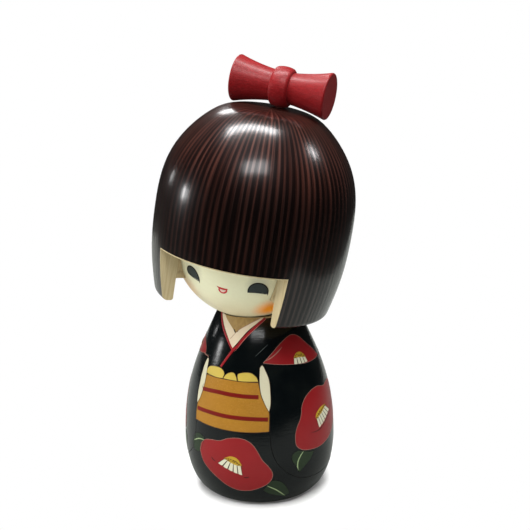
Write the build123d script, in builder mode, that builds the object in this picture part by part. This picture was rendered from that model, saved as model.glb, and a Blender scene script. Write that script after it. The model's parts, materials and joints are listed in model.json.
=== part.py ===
# Kokeshi doll with bobbed hair: seven turned pieces of wood, glued and pegged.
# Millimetres, +Z up. The origin is the centre of the flat base. The front of the
# kimono faces -Y, and the doll's own left is +X. The head leans and is turned a
# little on its neck dowel, so its pieces are drawn in a leaning frame of their own.

import os
from math import cos, radians, sin, sqrt, tan

from build123d import *

os.makedirs("parts", exist_ok=True)

# Kimono body: heights above the base, radii about the vertical axis
base_radius = 17.5         # flat disc that the doll stands on
belly_radius = 25.8
belly_height = 18.5
chest_radius = 22.6
chest_height = 42.0
shoulder_radius = 18.0
shoulder_height = 54.0
collar_radius = 13.0       # edge of the flat top, just under the chin
body_height = 65.0

# Seat of the head: the ball rests in a dish turned in the top of the body
ball_radius = 25.5
seat_land = 0.8            # flat left outside the dish
seat_gap = 0.3             # air between the turning ball and its dish
lean_angle = 10.0          # head axis from the vertical
lean_direction = 36.7      # from +X towards +Y, the way that the head leans
lean_arm = 12.3            # from the ball's centre up to where the two axes cross
head_turn = 6.5            # face turned towards the doll's left at rest

# Neck dowel: glued in the body, and the head turns on it
dowel_radius = 4.0
dowel_chamfer = 0.6
socket_depth = 16.0        # below the dish
ball_bore_depth = 20.0
running_clearance = 0.05
glue_gap = 0.05            # round a glued dowel or ring
end_gap = 0.5              # air at the end of a blind hole

# Hair cap: levels along the head axis from the ball's centre, walls outside the bore
ball_clearance = 0.1       # glue film between the ball and its bore
rim_level = -20.6
rim_wall = 3.6
rim_round = 2.2
lip_round = 0.8
temple_level = -6.0
temple_wall = 6.7
widest_level = 8.9
widest_wall = 7.5
crown_side_level = 32.5
crown_side_wall = 1.8
crown_edge_radius = 17.5
crown_edge_drop = 2.4      # below the crown, at crown_edge_radius
crown_wall = 19.6          # solid wood between the bore and the crown
fringe_level = -2.9        # upper edge of the window cut for the face
window_half_angle = 42.2

# Ring glued under the ball, which closes the bore behind it
ledge_level = -12.95
ring_height = 9.4          # thins to a feather edge beside the ball

# Hair bow: one turned piece, lying on the crown
bow_half_length = 16.4
bow_end_radius = 7.95
bow_neck_radius = 5.2
bow_hollow = 0.35          # how far the flare dips below a straight cone
bow_end_round = 0.5
knot_half_width = 3.2
knot_radius = 6.8
knot_crown = 0.6           # barrel of the knot, from its edge to its middle
knot_round = 1.2
bow_offset = 0.8           # towards the doll's left of the head axis
bow_setback = 6.0          # behind the head axis
bow_sink = 0.02            # the crown is that much lower under the bow

# Peg between the bow and the cap
peg_radius = 1.5
peg_chamfer = 0.3
peg_depth_in_cap = 8.0
peg_depth_past_centre = 2.0

overrun = 1.0              # how far a cutting tool runs past a face

# Frames
seat_radius = collar_radius - seat_land
ball_height = body_height + sqrt((ball_radius + seat_gap) ** 2 - seat_radius ** 2)
lean_axis = Axis((0, 0, 0), (-sin(radians(lean_direction)), cos(radians(lean_direction)), 0))
head_up = Vector(0, 0, 1).rotate(lean_axis, lean_angle)
head_left = Vector(cos(radians(head_turn)), sin(radians(head_turn)), 0).rotate(lean_axis, lean_angle)
axes_cross = Vector(0, 0, ball_height + lean_arm * head_up.Z)
ball_centre = axes_cross - head_up * lean_arm

head = Plane(origin=ball_centre, x_dir=head_left, z_dir=head_up)
head_side = Plane(origin=ball_centre, x_dir=head_left, z_dir=-head.y_dir)
head_axis = Axis(ball_centre, head_up)

bore_radius = ball_radius + ball_clearance
crown_level = bore_radius + crown_wall
bow_level = crown_level - bow_sink + knot_radius
bow_foot = ball_centre + head_left * bow_offset + head.y_dir * bow_setback
bow_pin = Plane(origin=bow_foot, x_dir=head_left, z_dir=head_up)
bow_side = Plane(origin=bow_foot + head_up * bow_level, x_dir=head_left, z_dir=-head.y_dir)


def rings(piece, radius):
    """The circular edges of that radius."""
    return piece.edges().filter_by(GeomType.CIRCLE).filter_by(lambda edge: abs(edge.radius - radius) < 0.001)


# Opening for the face: a wedge from the head axis, taken out of the cap and the ring
with BuildPart() as window:
    window_reach = bore_radius + widest_wall + overrun
    window_half_width = window_reach * tan(radians(window_half_angle))
    with BuildSketch(head.offset(rim_level - overrun)):
        with BuildLine():
            Polyline(
                (0, 0),
                (-window_half_width, -window_reach),
                (window_half_width, -window_reach),
                close=True,
            )
        make_face()
    extrude(amount=fringe_level - rim_level + overrun)

# Kimono body: a rounded foot, a long side and a flat top with the dish and socket
with BuildPart() as kimono_body:
    with BuildSketch(Plane.XZ):
        with BuildLine():
            foot = EllipticalCenterArc(
                (base_radius, belly_height), belly_radius - base_radius, belly_height,
                start_angle=270, arc_size=90,
            )
            side = Spline(
                foot @ 1,
                (chest_radius, chest_height),
                (shoulder_radius, shoulder_height),
                (collar_radius, body_height),
                tangents=[(0, 1), (collar_radius - shoulder_radius, body_height - shoulder_height)],
            )
            Polyline(side @ 1, (0, body_height), (0, 0), foot @ 0)
        make_face()
    revolve(axis=Axis.Z)
    with Locations(ball_centre):
        Sphere(ball_radius + seat_gap, mode=Mode.SUBTRACT)
    socket_floor = -(ball_radius + seat_gap + socket_depth)
    with BuildSketch(head.offset(socket_floor)):
        Circle(dowel_radius + glue_gap)
    extrude(amount=socket_depth + ball_radius, mode=Mode.SUBTRACT)

# Neck dowel: from the floor of the socket up into the ball
with BuildPart() as neck_dowel:
    dowel_foot = socket_floor + end_gap
    dowel_top = -ball_radius + ball_bore_depth - end_gap
    with BuildSketch(head.offset(dowel_foot)):
        Circle(dowel_radius)
    extrude(amount=dowel_top - dowel_foot)
    chamfer(rings(neck_dowel, dowel_radius), dowel_chamfer)

# Face ball: a turned ball, bored for the dowel
with BuildPart() as face_ball:
    with Locations(ball_centre):
        Sphere(ball_radius)
    with BuildSketch(head.offset(-ball_radius - overrun)):
        Circle(dowel_radius + running_clearance)
    extrude(amount=overrun + ball_bore_depth, mode=Mode.SUBTRACT)

# Face seat ring: its upper face is hollowed to the ball, its lower face is the ledge
with BuildPart() as face_seat_ring:
    with BuildSketch(head_side):
        with Locations((0, ledge_level)):
            Rectangle(bore_radius - glue_gap, ring_height, align=(Align.MIN, Align.MIN))
        Circle(ball_radius + ball_clearance, mode=Mode.SUBTRACT)
    revolve(axis=head_axis)
    add(window.part, mode=Mode.SUBTRACT)

# Hair cap: turned outside, bored from below to a round end, then sawn at the front
with BuildPart() as hair_cap:
    with BuildSketch(head_side):
        with BuildLine():
            wall = Spline(
                (bore_radius + rim_wall, rim_level),
                (bore_radius + temple_wall, temple_level),
                (bore_radius + widest_wall, widest_level),
                tangents=[(widest_wall - rim_wall, temple_level - rim_level), (0, 1)],
            )
            dome = Spline(
                wall @ 1,
                (bore_radius + crown_side_wall, crown_side_level),
                (crown_edge_radius, crown_level - crown_edge_drop),
                (0, crown_level),
                tangents=[(0, 1), (-1, 0)],
            )
            Polyline(dome @ 1, (0, rim_level), wall @ 0)
        make_face()
    revolve(axis=head_axis)
    fillet(rings(hair_cap, bore_radius + rim_wall), rim_round)
    with BuildSketch(head_side):
        with BuildLine():
            bore_end = CenterArc((0, 0), bore_radius, 0, 90)
            Polyline(bore_end @ 1, (0, rim_level - overrun), (bore_radius, rim_level - overrun), bore_end @ 0)
        make_face()
    revolve(axis=head_axis, mode=Mode.SUBTRACT)
    fillet(rings(hair_cap, bore_radius).sort_by(head_axis)[0], lip_round)
    add(window.part, mode=Mode.SUBTRACT)
    with BuildSketch(bow_pin.offset(crown_level - peg_depth_in_cap - end_gap)):
        Circle(peg_radius + glue_gap)
    extrude(amount=peg_depth_in_cap + end_gap + overrun, mode=Mode.SUBTRACT)

# Hair bow: a barrel knot between two flares, bored from below for the peg
with BuildPart() as hair_bow:
    with BuildSketch(bow_side):
        with BuildLine():
            ThreePointArc(
                (-knot_half_width, knot_radius - knot_crown),
                (0, knot_radius),
                (knot_half_width, knot_radius - knot_crown),
            )
            flare = ThreePointArc(
                (knot_half_width, bow_neck_radius),
                (
                    (knot_half_width + bow_half_length) / 2,
                    (bow_neck_radius + bow_end_radius) / 2 - bow_hollow,
                ),
                (bow_half_length, bow_end_radius),
            )
            knot_step = Line((knot_half_width, knot_radius - knot_crown), flare @ 0)
            bow_end = Line(flare @ 1, (bow_half_length, 0))
            mirror([flare, knot_step, bow_end], about=Plane.YZ)
            Line((-bow_half_length, 0), (bow_half_length, 0))
        make_face()
    revolve(axis=Axis(bow_side.origin, head_left))
    fillet(rings(hair_bow, bow_end_radius), bow_end_round)
    fillet(rings(hair_bow, knot_radius - knot_crown), knot_round)
    with BuildSketch(bow_pin.offset(bow_level - knot_radius - overrun)):
        Circle(peg_radius + glue_gap)
    extrude(amount=overrun + knot_radius + peg_depth_past_centre + end_gap, mode=Mode.SUBTRACT)

# Bow peg: glued into the cap and the knot
with BuildPart() as bow_peg:
    with BuildSketch(bow_pin.offset(crown_level - peg_depth_in_cap)):
        Circle(peg_radius)
    extrude(amount=peg_depth_in_cap + knot_radius + peg_depth_past_centre)
    chamfer(rings(bow_peg, peg_radius), peg_chamfer)

pieces = {
    "kimono_body": kimono_body,
    "neck_dowel": neck_dowel,
    "face_ball": face_ball,
    "face_seat_ring": face_seat_ring,
    "hair_cap": hair_cap,
    "hair_bow": hair_bow,
    "bow_peg": bow_peg,
}
for name, piece in pieces.items():
    piece.part.label = name
    export_step(piece.part, f"parts/{name}.step")

print(f"head axis through {ball_centre}, along {head_up}")
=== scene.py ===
# Finish, paint, light and camera for a turned kokeshi doll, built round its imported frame.
# Metres, in the doll's own frame: +Z up, kimono front towards -Y, the doll's own left on +X.
import json
from math import atan2, ceil, copysign, cos, degrees, pi, radians, sin

import bmesh
import bpy
from mathutils import Matrix, Vector
from mathutils.bvhtree import BVHTree
from mathutils.geometry import delaunay_2d_cdt


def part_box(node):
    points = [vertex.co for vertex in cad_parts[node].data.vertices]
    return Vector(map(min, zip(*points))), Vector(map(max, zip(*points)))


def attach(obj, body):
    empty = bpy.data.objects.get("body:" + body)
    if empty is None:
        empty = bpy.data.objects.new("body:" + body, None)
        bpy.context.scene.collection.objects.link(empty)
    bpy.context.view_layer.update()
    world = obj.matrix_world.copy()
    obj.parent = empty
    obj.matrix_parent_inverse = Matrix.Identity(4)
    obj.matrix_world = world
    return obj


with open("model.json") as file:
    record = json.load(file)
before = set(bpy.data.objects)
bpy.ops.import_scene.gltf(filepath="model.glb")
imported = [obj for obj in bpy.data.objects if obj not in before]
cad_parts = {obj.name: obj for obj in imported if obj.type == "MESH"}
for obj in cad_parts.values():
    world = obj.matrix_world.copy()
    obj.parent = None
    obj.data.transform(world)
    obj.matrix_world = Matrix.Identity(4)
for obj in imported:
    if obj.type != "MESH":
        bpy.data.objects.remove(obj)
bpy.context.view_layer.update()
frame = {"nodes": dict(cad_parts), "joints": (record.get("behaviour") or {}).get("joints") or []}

mm = 0.001
nodes = frame["nodes"]

# the head's own frame: it leans with the neck joint, and the face is turned to the doll's left
faceTurn = radians(6.5)
neckJoint = frame["joints"][0]
ballCentre = Vector(neckJoint["pos_m"])
headUp = Vector(neckJoint["axis"]).normalized()
lean = Vector((0, 0, 1)).rotation_difference(headUp)
headLeft = lean @ Vector((cos(faceTurn), sin(faceTurn), 0))
headBack = headUp.cross(headLeft)
headTurn = Matrix((headLeft, headBack, headUp)).transposed()
headFrame = Matrix.Translation(ballCentre) @ headTurn.to_4x4()


def towards(azimuth, elevation=0.0):
    # degrees: azimuth from the front towards the doll's left, elevation above the level
    across, up = radians(azimuth), radians(elevation)
    return Vector((sin(across) * cos(up), -cos(across) * cos(up), sin(up)))


def middle(node):
    low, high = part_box(node)
    return (low + high) / 2


ballRadius = (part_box("face_ball")[1].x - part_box("face_ball")[0].x) / 2
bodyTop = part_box("kimono_body")[1].z
bowFrame = Matrix.Translation(middle("hair_bow")) @ headTurn.to_4x4()
print(f"frame: ball {ballRadius / mm:.1f} mm, body {bodyTop / mm:.1f} mm tall")


# surfaces that paint lies on: across and up in degrees or mm, lift in mm
slideStep = 0.05              # mm
bodyTree = BVHTree.FromObject(nodes["kimono_body"], bpy.context.evaluated_depsgraph_get())


def onBody(azimuth, height, lift=0.0):
    # height above the base in mm; where the dish for the head cuts into the rim,
    # the point slides down to its edge
    outward = towards(azimuth)
    while True:
        start = outward * bodyTop + Vector((0, 0, height * mm))
        spot, normal = bodyTree.ray_cast(start, -outward)[:2]
        if spot and spot.dot(outward) > 0:
            return spot + normal * lift * mm, normal
        height -= slideStep


def onFace(azimuth, elevation, lift=0.0):
    # azimuth from the face's own front, elevation from the ball's equator
    normal = headTurn @ towards(azimuth, elevation)
    return ballCentre + normal * (ballRadius + lift * mm), normal


kimonoCloth = {"at": onBody, "across": 0.42, "up": 1.0, "body": "body", "slot": "kimono_lacquer"}
faceSkin = {"at": onFace, "across": 0.40, "up": 0.445, "body": "head", "slot": "face_paint"}


# small helpers for node trees
def addNode(tree, kind, **settings):
    node = tree.nodes.new(kind)
    for name, value in settings.items():
        setattr(node, name, value)
    return node


def plug(tree, slot, value):
    if isinstance(value, bpy.types.NodeSocket):
        tree.links.new(value, slot)
    else:
        slot.default_value = value


def wire(tree, kind, slots, **settings):
    # adds a node, fills its inputs by name or number and gives back its first output
    node = addNode(tree, kind, **settings)
    for slot, value in slots.items():
        plug(tree, node.inputs[slot], value)
    return node.outputs[0]


def maths(tree, operation, *values):
    return wire(tree, "ShaderNodeMath", dict(enumerate(values)), operation=operation)


def plus(tree, first, second):
    return maths(tree, "ADD", first, second)


def minus(tree, first, second):
    return maths(tree, "SUBTRACT", first, second)


def times(tree, first, second):
    return maths(tree, "MULTIPLY", first, second)


def vectorMaths(tree, operation, *values):
    node = addNode(tree, "ShaderNodeVectorMath", operation=operation)
    for slot, value in zip(node.inputs, values):
        plug(tree, slot, value)
    return node.outputs["Value"] if operation in ("DOT_PRODUCT", "LENGTH") else node.outputs[0]


def scaled(tree, vector, factor):
    return wire(tree, "ShaderNodeVectorMath", {0: vector, "Scale": factor}, operation="SCALE")


def xyz(tree, vector):
    node = addNode(tree, "ShaderNodeSeparateXYZ")
    plug(tree, node.inputs[0], vector)
    return node.outputs


def between(tree, value, low, high, toLow=0.0, toHigh=1.0):
    # eases value from low..high to toLow..toHigh
    return wire(tree, "ShaderNodeMapRange", {
        "Value": value, "From Min": low, "From Max": high, "To Min": toLow, "To Max": toHigh,
    }, interpolation_type="SMOOTHSTEP")


def blendColours(tree, factor, first, second, how="MIX"):
    node = addNode(tree, "ShaderNodeMix", data_type="RGBA", blend_type=how)
    plug(tree, node.inputs["Factor"], factor)
    plug(tree, node.inputs[6], first)
    plug(tree, node.inputs[7], second)
    return node.outputs[2]


def noise(tree, vector, scale, detail=2.0, roughness=0.5):
    return wire(tree, "ShaderNodeTexNoise", {
        "Vector": vector, "Scale": scale, "Detail": detail, "Roughness": roughness,
    }, noise_dimensions="3D")


def brighter(tree, colour, gain):
    return wire(tree, "ShaderNodeHueSaturation", {"Color": colour, "Value": gain})


def rgba(colour):
    return (*colour, 1.0)


def newGroup(name, kind, inputs, outputs):
    # inputs are (name, socket type, value), outputs are (name, socket type)
    group = bpy.data.node_groups.new(name, kind)
    for label, socketType, value in inputs:
        socket = group.interface.new_socket(label, in_out="INPUT", socket_type=socketType)
        if value is not None:
            socket.default_value = value
    for label, socketType in outputs:
        group.interface.new_socket(label, in_out="OUTPUT", socket_type=socketType)
    start = group.nodes.new("NodeGroupInput")
    end = group.nodes.new("NodeGroupOutput")
    return group, start.outputs, end.inputs


def useGroup(tree, group, **values):
    node = addNode(tree, "ShaderNodeGroup", node_tree=group)
    for name, value in values.items():
        plug(tree, node.inputs[name], value)
    return node.outputs


# shader groups that several finishes share
def makeTurnedGroup():
    # coordinates wrapped round the turning axis, so that lines follow the lathe or run from pole to pole
    group, given, made = newGroup("wrapRoundAxis", "ShaderNodeTree", [
        ("Vector", "NodeSocketVector", None),
        ("Around", "NodeSocketFloat", 1.0),
        ("Along", "NodeSocketFloat", 1.0),
    ], [("Vector", "NodeSocketVector")])
    flat = vectorMaths(group, "MULTIPLY", given["Vector"], (1, 1, 0))
    ring = vectorMaths(group, "NORMALIZE", flat)
    around = scaled(group, ring, given["Around"])
    rise = vectorMaths(group, "MULTIPLY", given["Vector"], (0, 0, 1))
    along = scaled(group, rise, given["Along"])
    plug(group, made["Vector"], vectorMaths(group, "ADD", around, along))
    return group


def makeGrainGroup():
    # long wood fibres with a slower figure behind them
    group, given, made = newGroup("woodGrain", "ShaderNodeTree", [
        ("Vector", "NodeSocketVector", None),
        ("Fibre", "NodeSocketFloat", 2.4),
        ("Stretch", "NodeSocketFloat", 0.06),
    ], [("Fibre", "NodeSocketFloat"), ("Figure", "NodeSocketFloat"), ("Pores", "NodeSocketFloat")])
    stretch = wire(group, "ShaderNodeCombineXYZ", {"X": 1.0, "Y": 1.0, "Z": given["Stretch"]})
    drawn = vectorMaths(group, "MULTIPLY", given["Vector"], stretch)
    fibre = noise(group, drawn, given["Fibre"], 3.0, 0.6)
    plug(group, made["Fibre"], between(group, fibre, 0.32, 0.68))
    plug(group, made["Figure"], between(group, noise(group, drawn, 0.35, 2.0), 0.3, 0.7))
    pores = noise(group, drawn, times(group, given["Fibre"], 3.0), 1.0)
    plug(group, made["Pores"], between(group, pores, 0.66, 0.74))
    return group


def makeBrushGroup():
    # hand-laid paint: slow cloudiness, fine brush lines and a height for the bump
    group, given, made = newGroup("handPaint", "ShaderNodeTree", [
        ("Colour", "NodeSocketColor", (0.5, 0.5, 0.5, 1)),
        ("Vector", "NodeSocketVector", None),
        ("Strokes", "NodeSocketFloat", 1.2),
        ("Unevenness", "NodeSocketFloat", 0.2),
    ], [("Colour", "NodeSocketColor"), ("Height", "NodeSocketFloat"), ("Wear", "NodeSocketFloat")])
    brushed = vectorMaths(group, "MULTIPLY", given["Vector"], (1.0, 1.0, 2.6))
    lines = noise(group, brushed, given["Strokes"], 4.0, 0.65)
    clouds = noise(group, given["Vector"], 0.16, 2.0)
    tone = plus(group, times(group, lines, 0.6), times(group, clouds, 0.8))
    shift = times(group, minus(group, tone, 0.7), given["Unevenness"])
    plug(group, made["Colour"], brighter(group, given["Colour"], plus(group, shift, 1.0)))
    plug(group, made["Height"], lines)
    plug(group, made["Wear"], clouds)
    return group


sawnEdge = {
    "sides": 2.0,             # the bare line is that much narrower at the sides than under the fringe
    "shadeEnd": 1.2,          # mm from the edge
    "boreWall": (0.15, 0.35),     # mm outside the bore, where bare wood gives way to lacquer
    "boreTop": (18.0, 20.0),      # level above which the crown is as narrow as the bore, and lacquered
}


def makeWindowGroup():
    # where the sawn window shows bare wood, and the dark line that the lacquer leaves beside it
    group, given, made = newGroup("sawnWindow", "ShaderNodeTree", [
        ("Vector", "NodeSocketVector", None),
        ("Half angle", "NodeSocketFloat", 0.7365),
        ("Fringe level", "NodeSocketFloat", -2.9),
        ("Bare line", "NodeSocketFloat", 0.3),
        ("Bore radius", "NodeSocketFloat", 25.6),
    ], [("Bare", "NodeSocketFloat"), ("Shade", "NodeSocketFloat")])
    x, y, level = xyz(group, given["Vector"])
    radius = maths(group, "SQRT", plus(group, times(group, x, x), times(group, y, y)))
    turn = maths(group, "ARCTAN2", maths(group, "ABSOLUTE", x), times(group, y, -1.0))
    beside = times(group, minus(group, turn, given["Half angle"]), radius)
    beside = times(group, beside, sawnEdge["sides"])
    above = minus(group, level, given["Fringe level"])
    away = maths(group, "MAXIMUM", beside, above)
    sharp = times(group, given["Bare line"], 1.3)
    window = between(group, away, given["Bare line"], sharp, 1.0, 0.0)
    inside = between(group, minus(group, radius, given["Bore radius"]), *sawnEdge["boreWall"], 1.0, 0.0)
    below = between(group, level, *sawnEdge["boreTop"], 1.0, 0.0)
    plug(group, made["Bare"], maths(group, "MAXIMUM", window, times(group, inside, below)))
    plug(group, made["Shade"], between(group, away, given["Bare line"], sawnEdge["shadeEnd"], 1.0, 0.0))
    return group


def makeSpotGroup():
    # a soft round spot on the ball: blush, eye shadow
    group, given, made = newGroup("softSpot", "ShaderNodeTree", [
        ("Vector", "NodeSocketVector", None),
        ("Towards", "NodeSocketVector", None),
        ("Core", "NodeSocketFloat", 3.0),
        ("Edge", "NodeSocketFloat", 16.0),
    ], [("Mask", "NodeSocketFloat")])
    unit = vectorMaths(group, "NORMALIZE", given["Vector"])
    nearness = vectorMaths(group, "DOT_PRODUCT", unit, given["Towards"])
    away = maths(group, "DEGREES", maths(group, "ARCCOSINE", maths(group, "MINIMUM", nearness, 0.99999)))
    speckle = times(group, minus(group, noise(group, given["Vector"], 1.6, 4.0, 0.7), 0.5), 5.0)
    ragged = plus(group, away, speckle)
    plug(group, made["Mask"], between(group, ragged, given["Core"], given["Edge"], 1.0, 0.0))
    return group


streakTone = {
    "wave": 0.19, "hairs": 0.74, "patches": 0.35, "shift": -0.045,
    "highlightShift": 1.1,        # radians that the painted highlight line runs ahead of its streak
    "highlightFrom": 0.72, "highlightTo": 0.98,
    "topLightFrom": 13.0, "topLightTo": 40.0,     # levels in mm over which the streaks are painted paler: painted top light on the crown
}


def makeStreakGroup():
    # combed streaks from the crown to the rim: evenly set, a little restless, with fine hairs between, and a
    # painted highlight line beside each streak
    group, given, made = newGroup("combedStreaks", "ShaderNodeTree", [
        ("Vector", "NodeSocketVector", None),
        ("Streaks", "NodeSocketFloat", 90.0),
        ("Wander", "NodeSocketFloat", 4.0),
        ("Hairs", "NodeSocketFloat", 60.0),
        ("Crown", "NodeSocketFloat", 43.4),
    ], [("Tone", "NodeSocketFloat"), ("PaintedHighlight", "NodeSocketFloat"), ("Height", "NodeSocketFloat"),
        ("Top", "NodeSocketFloat")])
    part = xyz(group, given["Vector"])
    turn = maths(group, "ARCTAN2", part[0], part[1])
    slow = useGroup(group, wrapRoundAxis, Vector=given["Vector"], Around=9.0, Along=0.018)["Vector"]
    fast = useGroup(group, wrapRoundAxis, Vector=given["Vector"], Around=given["Hairs"], Along=0.03)["Vector"]
    shift = times(group, noise(group, slow, 1.0, 2.0), given["Wander"])
    crown = between(group, part[2], given["Crown"], plus(group, given["Crown"], 1.0))
    angle = times(group, turn, given["Streaks"])
    side = maths(group, "SINE", plus(group, angle, shift))
    top = maths(group, "SINE", plus(group, times(group, angle, 0.5), shift))
    wave = plus(group, times(group, side, minus(group, 1.0, crown)), times(group, top, crown))
    hairs = noise(group, fast, 1.0, 2.0, 0.6)
    patches = noise(group, slow, 0.6, 1.0)
    tone = plus(group, times(group, wave, streakTone["wave"]), times(group, hairs, streakTone["hairs"]))
    tone = plus(group, tone, times(group, patches, streakTone["patches"]))
    plug(group, made["Tone"], plus(group, tone, streakTone["shift"]))
    # a painted highlight: a thin pale line beside each streak, where the light would catch the edge of a
    # combed groove
    edge = maths(group, "SINE", plus(group, angle, plus(group, shift, streakTone["highlightShift"])))
    ridge = between(group, edge, streakTone["highlightFrom"], streakTone["highlightTo"])
    plug(group, made["PaintedHighlight"], times(group, ridge, between(group, hairs, 0.35, 0.6)))
    plug(group, made["Height"], hairs)
    # Top: how far up the streaks are painted paler, as painted top light
    plug(group, made["Top"], between(group, part[2], streakTone["topLightFrom"], streakTone["topLightTo"]))
    return group


wrapRoundAxis = makeTurnedGroup()
combedStreaks = makeStreakGroup()
woodGrain = makeGrainGroup()
handPaint = makeBrushGroup()
sawnWindow = makeWindowGroup()
softSpot = makeSpotGroup()
print("shader groups ready")


# finishes
def drive(tree, shader, **values):
    # feeds what changes over the surface into the shader
    for label, value in values.items():
        plug(tree, shader.inputs[label.replace("_", " ")], value)


def startMaterial(name, **constants):
    # returns the tree and its Principled shader, with constant values on the shader's own sockets
    material = bpy.data.materials.new(name)
    material.use_nodes = True
    tree = material.node_tree
    shader = tree.nodes["Principled BSDF"]
    for label, value in constants.items():
        shader.inputs[label.replace("_", " ")].default_value = value
    return material, tree, shader


def millimetres(tree, place=Matrix.Identity(4)):
    # object coordinates in mm, seen from a leaning or shifted frame
    inside = place.inverted()
    coordinates = addNode(tree, "ShaderNodeTexCoord")
    mapping = addNode(tree, "ShaderNodeMapping", vector_type="POINT")
    mapping.inputs["Scale"].default_value = (1 / mm,) * 3
    mapping.inputs["Rotation"].default_value = inside.to_euler("XYZ")
    mapping.inputs["Location"].default_value = inside.translation / mm
    tree.links.new(coordinates.outputs["Object"], mapping.inputs["Vector"])
    return mapping.outputs["Vector"]


def bumpFrom(tree, shader, height, distance):
    # distance in mm
    bump = wire(tree, "ShaderNodeBump", {"Strength": 1.0, "Distance": distance * mm, "Height": height})
    drive(tree, shader, Normal=bump)


hairFinish = {
    "dark": (0.0016, 0.0005, 0.0004),
    "brown": (0.0055, 0.0017, 0.0012),
    "chestnut": (0.0185, 0.0058, 0.0040),
    # ridge: the colour of the painted highlight beside each combed groove
    "ridge": (0.013, 0.0060, 0.0050),
    "paintedTopLight": 3.2,         # painted top light: the streaks are painted paler towards the crown
    "sawnWood": (0.52, 0.44, 0.27),
    "sawnWoodDark": (0.33, 0.24, 0.11),
    "sawnPale": 0.55,         # how far the pale tone covers the fibres of the sawn wood
    "sawnPores": 0.4,
    "sawnRoughness": 0.7,
    "roughness": (0.34, 0.42),
    "coatRoughness": 0.19,
    "coatTones": (0.36, 0.78),
    "coat": (0.55, 1.0),      # the furrows between the streaks shine less than the streaks
    "toneStops": (0.40, 0.56, 0.79),      # where dark, brown and chestnut sit in the streaks' tone
    "highlightStrength": 0.55,
    "lineStrength": 0.75,     # the dark line beside the sawn window
    "bump": 0.02,             # mm
}


def makeHairFinish():
    look = hairFinish
    material, tree, shader = startMaterial(
        "combedLacquer", Coat_Roughness=look["coatRoughness"], IOR=1.5, Specular_IOR_Level=0.1)
    place = millimetres(tree, headFrame)
    streaks = useGroup(tree, combedStreaks, Vector=place)
    ramp = addNode(tree, "ShaderNodeValToRGB")
    for stop, colour in zip(look["toneStops"], (look["dark"], look["brown"], look["chestnut"])):
        ramp.color_ramp.elements.new(stop).color = rgba(colour)
    ramp.color_ramp.elements.remove(ramp.color_ramp.elements[0])
    ramp.color_ramp.elements.remove(ramp.color_ramp.elements[-1])
    plug(tree, ramp.inputs["Fac"], streaks["Tone"])
    # painted highlight beside the combed grooves, mixed over the streaks
    ridge = times(tree, streaks["PaintedHighlight"], look["highlightStrength"])
    combed = blendColours(tree, ridge, ramp.outputs["Color"], rgba(look["ridge"]))
    # painted top light: the streaks get paler towards the crown
    combed = brighter(tree, combed, between(tree, streaks["Top"], 0.0, 1.0, 1.0, look["paintedTopLight"]))
    cut = useGroup(tree, sawnWindow, Vector=place)
    grain = useGroup(tree, woodGrain, Vector=place, Fibre=1.6, Stretch=0.05)
    bare = blendColours(tree, grain["Fibre"], rgba(look["sawnWood"]), rgba(look["sawnWoodDark"]))
    bare = blendColours(tree, look["sawnPale"], bare, rgba(look["sawnWood"]))
    pores = times(tree, grain["Pores"], look["sawnPores"])
    bare = blendColours(tree, pores, bare, rgba(look["sawnWoodDark"]))
    lined = blendColours(tree, times(tree, cut["Shade"], look["lineStrength"]), combed, rgba(look["dark"]))
    drive(tree, shader, Base_Color=blendColours(tree, cut["Bare"], lined, bare))
    gloss = between(tree, streaks["Tone"], *look["coatTones"], *look["coat"])
    drive(tree, shader, Coat_Weight=times(tree, gloss, minus(tree, 1.0, cut["Bare"])))
    smooth = between(tree, noise(tree, place, 0.09, 1.0), 0.3, 0.7, *look["roughness"])
    sawn = times(tree, cut["Bare"], look["sawnRoughness"])
    drive(tree, shader, Roughness=maths(tree, "MAXIMUM", smooth, sawn))
    height = times(tree, streaks["Height"], minus(tree, 1.0, cut["Bare"]))
    bumpFrom(tree, shader, plus(tree, height, times(tree, grain["Fibre"], cut["Bare"])), look["bump"])
    return material


kimonoFinish = {
    "black": (0.0012, 0.0022, 0.0026),
    "worn": (0.004, 0.0055, 0.0050),
    "bareWood": (0.50, 0.40, 0.22),
    "bareWoodDark": (0.35, 0.28, 0.154),
    "roughness": 0.19,
    "sheenChange": 0.10,
    "bareRoughness": 0.65,
    "toolLines": 1.6,         # lathe lines to the mm
    "lineDepth": 0.035,       # mm
    "rollFrom": 55.0,         # the shoulder rolls over a little more towards the neck
    "roll": 0.020,
}


def makeKimonoFinish():
    look = kimonoFinish
    material, tree, shader = startMaterial("blackLacquer", IOR=1.5, Specular_IOR_Level=0.31)
    place = millimetres(tree)
    turned = useGroup(tree, wrapRoundAxis, Vector=place, Around=5.0, Along=look["toolLines"])["Vector"]
    lines = noise(tree, turned, 1.0, 3.0, 0.65)
    clouds = noise(tree, place, 0.11, 3.0)
    part = xyz(tree, place)
    top = between(tree, part[2], bodyTop / mm - 0.35, bodyTop / mm - 0.15)
    foot = between(tree, part[2], 0.05, 0.25, 1.0, 0.0)
    bareMask = maths(tree, "MAXIMUM", top, foot)
    grain = useGroup(tree, woodGrain, Vector=place, Fibre=1.5, Stretch=0.05)
    wood = blendColours(tree, grain["Fibre"], rgba(look["bareWood"]), rgba(look["bareWoodDark"]))
    black = blendColours(tree, between(tree, clouds, 0.45, 0.75), rgba(look["black"]), rgba(look["worn"]))
    drive(tree, shader, Base_Color=blendColours(tree, bareMask, black, wood))
    sheen = plus(tree, look["roughness"], times(tree, minus(tree, lines, 0.5), look["sheenChange"]))
    bare = times(tree, bareMask, look["bareRoughness"])
    drive(tree, shader, Roughness=maths(tree, "MAXIMUM", sheen, bare))
    aboveRoll = maths(tree, "MAXIMUM", minus(tree, part[2], look["rollFrom"]), 0.0)
    rolled = times(tree, times(tree, aboveRoll, aboveRoll), -look["roll"])
    bumpFrom(tree, shader, plus(tree, times(tree, lines, look["lineDepth"]), rolled), 1.0)
    return material


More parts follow.
